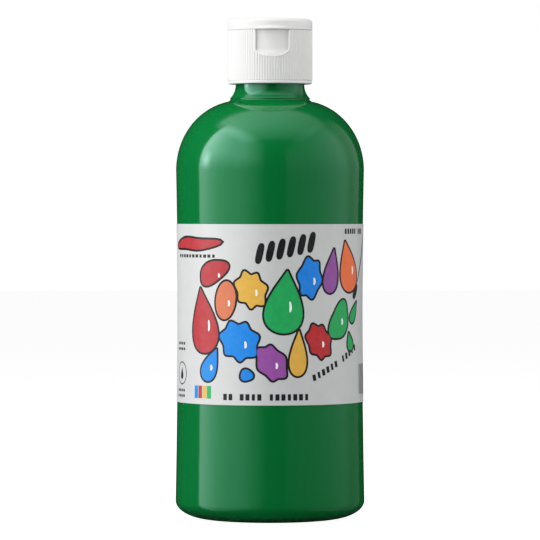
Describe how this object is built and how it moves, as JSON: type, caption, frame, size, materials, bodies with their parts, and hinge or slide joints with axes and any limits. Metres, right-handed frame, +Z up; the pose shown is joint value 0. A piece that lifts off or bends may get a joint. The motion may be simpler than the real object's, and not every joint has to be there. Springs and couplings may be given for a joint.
{
  "type": "paint squeeze bottle",
  "caption": "Round-shouldered squeeze bottle of green tempera paint with a wrap label, a ribbed screw cap and a flip-open dispensing lid.",
  "frame": {"origin": "centre of the base, on the surface the bottle stands on", "axes": "+Z up along the bottle's axis; -Y is the front, where the cap's thumb notch is, and the lid's hinge is on +Y; +X is to the right seen from the front"},
  "size_m": [0.0694, 0.0694, 0.1827],
  "materials": {
    "bottle_plastic": "gloss",
    "tempera_paint": "satin",
    "label_film": "satin",
    "seal_foam": "matte",
    "cap_plastic": "satin"
  },
  "bodies": {
    "bottle": {"bottle": "bottle_plastic", "paint": "tempera_paint", "label": "label_film"},
    "seal": {"seal_ring": "seal_foam"},
    "cap": {"cap_body": "cap_plastic", "hinge_strap_left": "cap_plastic", "hinge_strap_right": "cap_plastic"},
    "lid": {"flip_lid": "cap_plastic"}
  },
  "joints": [
    {"name": "cap_lift", "type": "slide", "parent": "bottle", "child": "seal", "axis": [0, 0, 1], "range_m": [0, 0.0225]},
    {"name": "cap_turn", "type": "hinge", "parent": "seal", "child": "cap", "pos_m": [0, 0, 0.1785], "axis": [0, 0, 1], "range_deg": [0, 1890]},
    {"name": "lid_flip", "type": "hinge", "parent": "cap", "child": "lid", "pos_m": [0, 0.0161, 0.1785], "axis": [-1, 0, 0], "range_deg": [0, 150], "deforming": ["hinge_strap_left", "hinge_strap_right"]}
  ],
  "couplings": [
    {"joint": "cap_lift", "follows": "cap_turn", "m_per_rad": 0.00067376}
  ]
}
